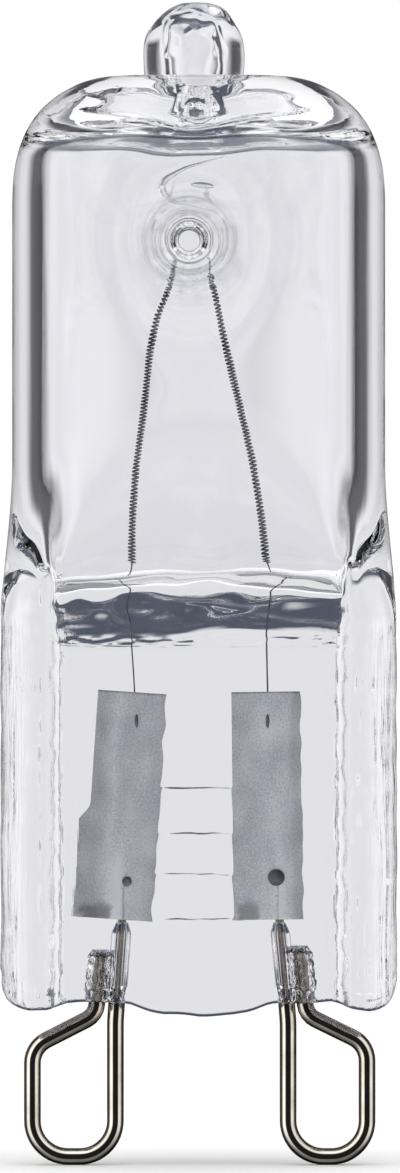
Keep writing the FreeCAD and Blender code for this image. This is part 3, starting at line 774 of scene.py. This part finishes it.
def bentLine(corners, step):
    # points along runs in the XZ plane, with each corner (x, z, radius) taken round an arc
    spots = [Vector((corner[0], 0.0, corner[1])) for corner in corners]
    out = [spots[0]]

    def runTo(stop):
        run = stop - out[-1]
        count = max(1, round(run.length / step))
        out.extend([out[-1] + run * (i / count) for i in range(1, count)])

    for index in range(1, len(spots) - 1):
        radius = corners[index][2]
        back = (spots[index - 1] - spots[index]).normalized()
        on = (spots[index + 1] - spots[index]).normalized()
        half = back.angle(on) / 2
        reach = radius / math.tan(half)
        centre = spots[index] + (back + on).normalized() * (radius / math.sin(half))
        start, stop = spots[index] + back * reach, spots[index] + on * reach
        sweep = math.pi - 2 * half
        count = max(3, round(sweep * radius / step))
        runTo(start)
        axis = (start - centre).cross(stop - centre).normalized()
        for i in range(count + 1):
            out.append(centre + Matrix.Rotation(sweep * i / count, 3, axis) @ (start - centre))
    runTo(spots[-1])
    return out + [spots[-1]]


def makeLoop(side, label):
    mesh = bmesh.new()
    line = bentLine(contactLoops[side], 0.16)
    size, endRound = contactLoops["wireRadius"], contactLoops["endRound"]
    lean = (line[0] - line[1]).normalized()
    tip = (line[-1] - line[-2]).normalized()
    points = [line[0] + lean * 0.002, line[0] + lean * 0.001] + line
    points += [line[-1] + tip * 0.001, line[-1] + tip * 0.002]
    # the lead is thinner inside the glass than the loop below it
    half = len(line) // 2
    along = [mixed(size, contactLoops["leadRadius"], eased(spot.z, *contactLoops["leadStart"]))
             if index < half else size for index, spot in enumerate(line)]
    sweepWire(mesh, points, [0.0, along[0] * endRound] + along + [size * endRound, 0.0], 32)
    piece = finishPiece(mesh, label, nickel, [f"contact_loop_{side}"])
    # tone: the sealing flame darkened the wire inside the glass
    tone = piece.data.attributes.new("tone", "FLOAT", "POINT")
    for index, vertex in enumerate(piece.data.vertices):
        inside = eased(vertex.co.z / millimetre, *contactLoops["burntFrom"])
        tone.data[index].value = mixed(1.0, contactLoops["burnt"], inside)


makeLoop("left", "contactLoopLeft")
makeLoop("right", "contactLoopRight")


# Filament: a single wire, coiled on both sides and carried over the post

filament = {
    "wireRadius": 0.031,
    "tailRadius": 0.03,
    "coilRadius": 0.118,
    "pitch": 0.125,
    "pointsPerTurn": 12,
    "opening": 6,  # points over which the coil opens from its axis, and closes to it again
    "depth": -0.23,
    "wrapRadius": 1.27,  # round the post
    "left": {"tail": [(-2.36, 16.3), (-2.36, 17.5), (-2.50, 19.6), (-2.58, 21.2), (-2.39, 22.5)],
             "coil": [(-2.39, 22.5), (-2.30, 23.9), (-1.79, 30.6), (-1.66, 31.3), (-1.27, 31.95),
                      (-1.16, 32.4), (-1.10, 33.15)]},
    "right": {"tail": [(2.55, 16.3), (2.55, 17.5), (2.50, 19.6), (2.68, 21.2), (2.46, 22.5)],
              "coil": [(2.46, 22.5), (2.26, 23.9), (0.88, 31.1), (0.70, 32.0), (0.62, 32.6)]},
}


def coilPoints(axis):
    # points of the coiled wire round an axis line
    lengths = [0.0]
    for a, b in zip(axis, axis[1:]):
        lengths.append(lengths[-1] + (b - a).length)
    count = round(lengths[-1] / filament["pitch"] * filament["pointsPerTurn"])
    opening = filament["opening"]
    out = []
    for index in range(count + 1):
        place = lengths[-1] * index / count
        part = next(i for i in range(len(axis) - 1) if place <= lengths[i + 1] + 1e-9)
        a, b = axis[part], axis[part + 1]
        middle = a.lerp(b, (place - lengths[part]) / (lengths[part + 1] - lengths[part]))
        across = (b - a).normalized().cross(Vector((0, 1, 0))).normalized()
        turn = math.pi * 2 * index / filament["pointsPerTurn"]
        radius = filament["coilRadius"] * min(1.0, index / opening, (count - index) / opening)
        out.append(middle + (across * math.cos(turn) + Vector((0, 1, 0)) * math.sin(turn)) * radius)
    return out


def makeFilament():
    mesh = bmesh.new()
    depth = filament["depth"]
    halves = {}
    for side in ("left", "right"):
        tail = [Vector((x, depth, z)) for x, z in rounded(filament[side]["tail"], 0.15, 12)][:-1]
        coil = coilPoints([Vector((x, depth, z)) for x, z in rounded(filament[side]["coil"], 0.15, 8)])
        sizes = [filament["tailRadius"]] * len(tail) + [filament["wireRadius"]] * len(coil)
        halves[side] = (tail + coil, sizes)
    post = Vector((dimple["x"], depth, dimple["z"]))
    wrap = [post + Vector((math.cos(math.radians(degrees)), 0, math.sin(math.radians(degrees)))) *
            filament["wrapRadius"] for degrees in range(205, -26, -8)]
    strand = halves["left"][0] + wrap + halves["right"][0][::-1]
    radii = halves["left"][1] + [filament["wireRadius"]] * len(wrap) + halves["right"][1][::-1]
    radii[0] = radii[-1] = 0.0
    sweepWire(mesh, strand, radii, 6)
    finishPiece(mesh, "filamentWire", tungsten, ["filament"])


makeFilament()


# Foils: thin strips, pushed forward over the leads, with a dark spot at each weld

# across: painted shade, as brightness from the left edge (-1) to the right (1), darker towards the edges;
# patch:
# middle, spread, height and darkness of a dark patch at the lower end; glow: middle, width and gain of a
# painted highlight, a bright streak; dot: x, z and radius of the lead's weld; tick: x and z of the tail's
foils = {
    "width": 2.54,
    "length": 8.42,
    "thickness": 0.05,
    "middleZ": 13.3,
    "back": -0.27,
    "edge": (0.9, 1.25),  # distance from the middle over which an edge turns ragged
    "leadDark": 0.45,
    "leadWidth": 0.045,
    "left": {"x": -2.73, "lean": 3.9, "lead": -2.79, "tick": (-2.29, 16.42), "dot": (-2.65, 10.5, 0.18),
             "across": [(-1.0, 0.78), (-0.8, 0.76), (-0.6, 0.92), (-0.38, 1.1), (-0.1, 0.95), (0.6, 0.98),
                        (1.0, 0.86)],
             "patch": (-0.62, 0.5, 0.075, 0.5), "flap": 0.38, "paintedHighlight": (-0.06, 0.2, 0.55), "seed": 1},
    "right": {"x": 2.53, "lean": -0.7, "lead": 2.93, "tick": (2.55, 16.42), "dot": (2.87, 10.65, 0.31),
              "across": [(-1.0, 0.92), (-0.5, 0.98), (-0.1, 1.1), (0.3, 1.07), (0.66, 1.0), (0.78, 0.82),
                         (1.0, 0.76)],
              "patch": (-0.58, 0.34, 0.095, 0.6), "flap": 0.0, "paintedHighlight": (0.34, 0.14, 0.35), "seed": 0},
}


def foilShadeAndTone(shape, lean, x, z):
    # brightness of a foil at a place: painted shade in bands across it and a painted highlight streak, with
    # uneven tone, a dark patch at the lower end and the lead's thin brown line
    besideX, besideZ = x - shape["x"], z - foils["middleZ"]
    u = (besideX * math.cos(lean) - besideZ * math.sin(lean)) / foils["width"] * 2
    v = (besideX * math.sin(lean) + besideZ * math.cos(lean)) / foils["length"] + 0.5
    # painted shade: bands across the foil, darker towards its edges
    value = readOff(shape["across"], u + ripple(v * 9, 3.0, 1.0, 1.6, 0.1))
    value += ripple(u * 3, v * 12, 5.0, 1.2, 0.1)
    # painted highlight: a bright streak on the lower part of the foil
    highlightAt, highlightWide, gain = shape["paintedHighlight"]
    value += gain * math.exp(-((u - highlightAt) / highlightWide) ** 2) * (1 - eased(v, 0.12, 0.45))
    # a dark patch at the foil's lower end
    middle, spread, high, dark = shape["patch"]
    fray = ripple(u * 3, v * 40, 9.0, 1.0, 0.35)
    darkPatch = 1 - eased(abs(u - middle) + fray * spread, spread * 0.7, spread * 1.1)
    darkPatch *= 1 - eased(v, high * 0.5, high * (1 + fray))
    weldX, weldZ = shape["dot"][:2]
    below = eased(weldZ - z, 0.0, 0.2)
    lead = math.exp(-((x - mixed(weldX, shape["lead"], below)) / foils["leadWidth"]) ** 2) * below
    return value * mixed(1.0, dark, darkPatch) * (1 - foils["leadDark"] * lead)


def makeFoil(side, label):
    shape = foils[side]
    mesh = bmesh.new()
    columns, rows = 48, 96
    lean = math.radians(shape["lean"])

    def place(column, row):
        u = (column / columns - 0.5) * foils["width"]
        v = (row / rows - 0.5) * foils["length"]
        # torn edges: a wavy one on the right and, on the left foil, a flap folded out along the lower half
        u += ripple(v * 1.3, shape["seed"], 2.0, 0.9, 0.09) * eased(u, *foils["edge"])
        lower = eased(-v + ripple(u, v * 2, 4.0, 0.8, 0.3), -0.2, 0.9)
        u -= shape["flap"] * eased(-u, *foils["edge"]) * lower
        x = shape["x"] + u * math.cos(lean) + v * math.sin(lean)
        z = foils["middleZ"] - u * math.sin(lean) + v * math.cos(lean)
        over = math.exp(-((x - shape["lead"]) / 0.3) ** 2) * (1 - eased(z, 10.2, 11.4))
        return Vector((x, foils["back"] - over * 0.06 - abs(ripple(x, 1.0, z, 1.5, 0.03)), z))

    addSheet(mesh, columns, rows, place)
    bmesh.ops.recalc_face_normals(mesh, faces=mesh.faces)
    bmesh.ops.solidify(mesh, geom=mesh.verts[:] + mesh.edges[:] + mesh.faces[:], thickness=foils["thickness"])
    piece = finishPiece(mesh, label, molybdenum, [f"foil_{side}"])
    # tone carries the foil's painted shade and painted highlight, with its uneven tone, dark patch and lead
    # line
    tone = piece.data.attributes.new("tone", "FLOAT", "POINT")
    for index, vertex in enumerate(piece.data.vertices):
        tone.data[index].value = foilShadeAndTone(shape, lean, vertex.co.x / millimetre, vertex.co.z / millimetre)


makeFoil("left", "foilLeft")
makeFoil("right", "foilRight")


def makeWeldMarks():
    # small dark lumps where a tail and a lead are welded to each foil
    mesh = bmesh.new()
    front = foils["back"] - foils["thickness"]
    for side in ("left", "right"):
        tickX, tickZ = foils[side]["tick"]
        dotX, dotZ, dotSize = foils[side]["dot"]
        lumps = [((tickX, front, tickZ), (0.06, 0.03, 0.26, 1.0), 16, 10),
                 ((dotX, front - 0.05, dotZ), (dotSize, 0.05, dotSize, 1.0), 20, 12)]
        for spot, size, around, along in lumps:
            bmesh.ops.create_uvsphere(mesh, u_segments=around, v_segments=along, radius=1.0,
                                      matrix=Matrix.Translation(Vector(spot)) @ Matrix.Diagonal(size))
    finishPiece(mesh, "weldMarks", tungsten, [])


makeWeldMarks()
print("metal parts made")


# Studio: white surround with darker gaps, a pale floor and a soft light from above

studio = {
    "white": "#e5e5e7",
    "side": "#f4f4f6",
    "slate": "#4c5260",
    "gap": "#45444a",
    "diffuse": "#e7e7e7",
    "backdrop": "#ffffff",
    "card": "#f6f6f6",
    "strength": 1.02,  # of the surround
    # soft edges in the surround, by direction: what is read, from where, to where, and the value at each;
    # square is 1 along X or Y and 0.71 on a diagonal
    "edges": {"gapAside": ("square", 0.94, 0.79, 0.0, 1.0), "gapAbove": ("z", -0.24, -0.1, 0.0, 1.0),
              "sides": ("square", 0.996, 0.97, 0.0, 1.0), "upper": ("z", 0.3, 0.46, 0.0, 1.0),
              "lower": ("z", -0.44, -0.6, 0.0, 0.75), "behind": ("y", -0.86, -0.7, 0.012, 1.0),
              "beside": ("y", -0.4, 0.1, 1.6, 0.06), "under": ("z", -0.75, -0.15, 0.16, 1.0),
              "right": ("x", -0.3, 0.8, 1.0, 0.7)},
    # these are in metres and watts
    "floorRadius": 0.05,
    "lampSize": 0.35,
    "lampPower": 1.3,
    "lampPlace": (0.0, -0.05, 0.5),
    "distance": 0.5,
    # the camera's aim (x, z), the photograph's height in pixels, and the size of a pixel and of the sensor
    "aim": (0.05, 21.4),
    "photoHeight": 1173,
    "pixelSize": 0.037,
    "sensor": 36,
}


def makeSurround():
    world = bpy.data.worlds.new("studio")
    world.use_nodes = True
    bpy.context.scene.world = world
    way = addNode(world, "ShaderNodeTexCoord").outputs["Generated"]
    parts = addNode(world, "ShaderNodeSeparateXYZ", inputs={0: way})
    flat = addNode(world, "ShaderNodeVectorMath", {"operation": "MULTIPLY"}, {0: way, 1: (1.0, 1.0, 0.0)})
    level = addNode(world, "ShaderNodeVectorMath", {"operation": "NORMALIZE"}, {0: flat.outputs[0]})
    folded = addNode(world, "ShaderNodeVectorMath", {"operation": "ABSOLUTE"}, {0: level.outputs[0]})
    sides = addNode(world, "ShaderNodeSeparateXYZ", inputs={0: folded.outputs[0]})
    square = addNode(world, "ShaderNodeMath", {"operation": "MAXIMUM"}, {
        0: sides.outputs["X"], 1: sides.outputs["Y"]})
    seen = {"x": parts.outputs["X"], "y": parts.outputs["Y"], "z": parts.outputs["Z"],
            "square": square.outputs[0]}
    soft = {}
    for name, (read, start, stop, there, here) in studio["edges"].items():
        edge = addNode(world, "ShaderNodeMapRange", {"interpolation_type": "SMOOTHSTEP"}, {
            "Value": seen[read], "From Min": start, "From Max": stop, "To Min": there, "To Max": here})
        soft[name] = edge.outputs["Result"]
    gaps = addNode(world, "ShaderNodeMath", {"operation": "MULTIPLY"}, {
        0: soft["gapAside"], 1: soft["gapAbove"]})
    # what the glass bends in: white and paler sides, with dark gaps between them and slate above and below
    clear = linearColour(studio["white"])
    for part, colour in ((soft["sides"], studio["side"]), (gaps.outputs[0], studio["gap"]),
                         (soft["upper"], studio["slate"]), (soft["lower"], studio["slate"])):
        clear = addNode(world, "ShaderNodeMix", {"data_type": "RGBA"}, {
            0: part, 6: clear, 7: linearColour(colour)}).outputs[2]
    # what bright metal reflects: dark behind the viewer, soft light from the sides
    shine = 1.0
    for name in ("behind", "beside", "under", "right"):
        shine = addNode(world, "ShaderNodeMath", {"operation": "MULTIPLY"}, {
            0: shine, 1: soft[name]}).outputs[0]
    path = addNode(world, "ShaderNodeLightPath")
    light = shine
    for ray, colour in (("Is Transmission Ray", clear), ("Is Diffuse Ray", linearColour(studio["diffuse"])),
                        ("Is Camera Ray", linearColour(studio["backdrop"]))):
        light = addNode(world, "ShaderNodeMix", {"data_type": "RGBA"}, {
            0: path.outputs[ray], 6: light, 7: colour}).outputs[2]
    back = world.node_tree.nodes["Background"]
    joinUp(world, light, back.inputs["Color"])
    back.inputs["Strength"].default_value = studio["strength"]


def makeFloor():
    mesh = bmesh.new()
    bmesh.ops.create_circle(mesh, cap_ends=True, cap_tris=True, segments=96, radius=studio["floorRadius"])
    data = bpy.data.meshes.new("floor")
    mesh.to_mesh(data)
    mesh.free()
    floor = bpy.data.objects.new("floor", data)
    bpy.context.scene.collection.objects.link(floor)
    data.materials.append(newMaterial("matt_white_card", {
        "Base Color": linearColour(studio["card"]), "Roughness": 0.9})[0])
    floor.visible_glossy = False


def makeLight():
    lamp = bpy.data.lights.new("overhead", "AREA")
    lamp.shape, lamp.size, lamp.energy = "DISK", studio["lampSize"], studio["lampPower"]
    holder = bpy.data.objects.new("overhead", lamp)
    bpy.context.scene.collection.objects.link(holder)
    holder.location = studio["lampPlace"]
    holder.visible_transmission = False
    holder.visible_glossy = False


def makeCamera():
    # level and straight ahead, with the photograph's height filling the frame
    aimX, aimZ = studio["aim"]
    tall = studio["photoHeight"] * studio["pixelSize"] * millimetre
    lens = bpy.data.cameras.new("camera")
    lens.sensor_width = studio["sensor"]
    lens.lens = studio["sensor"] * studio["distance"] / tall
    holder = bpy.data.objects.new("camera", lens)
    bpy.context.scene.collection.objects.link(holder)
    holder.location = (aimX * millimetre, -studio["distance"], aimZ * millimetre)
    holder.rotation_euler = (math.pi / 2, 0, 0)
    lens.clip_start, lens.clip_end = 0.01, 10
    bpy.context.scene.camera = holder


makeSurround()
makeFloor()
makeLight()
makeCamera()
scene = bpy.context.scene
scene.view_settings.view_transform = "Standard"
scene.cycles.max_bounces = 32
scene.cycles.transmission_bounces = 32
scene.cycles.glossy_bounces = 16
scene.cycles.sample_clamp_indirect = 6
print("studio made")
